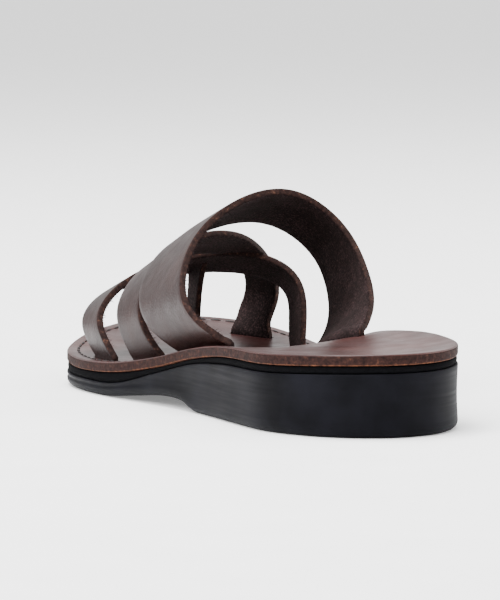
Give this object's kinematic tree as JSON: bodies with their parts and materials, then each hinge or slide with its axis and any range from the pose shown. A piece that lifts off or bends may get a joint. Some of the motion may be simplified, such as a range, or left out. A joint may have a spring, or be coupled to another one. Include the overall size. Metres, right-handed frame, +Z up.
{
  "type": "strapped slide sandal",
  "caption": "Left leather slide sandal: crossing forefoot straps, a wide instep band and a flat toe strap on a low-heeled sole.",
  "frame": {"origin": "on the ground, below the middle of the box round the sole", "axes": "+Y to the toe, +X to the wearer's right, which is the medial side of this left shoe, +Z up"},
  "size_m": [0.1002, 0.27, 0.0746],
  "materials": {
    "outsole": "satin moulded black rubber",
    "midsole": "matt black foam sheet",
    "insole": "polished brown leather board",
    "upper": "dark brown smooth leather, suede inside"
  },
  "bodies": {
    "root": {"outsole": "outsole", "midsole": "midsole", "insole": "insole", "upper": "upper"}
  },
  "joints": []
}
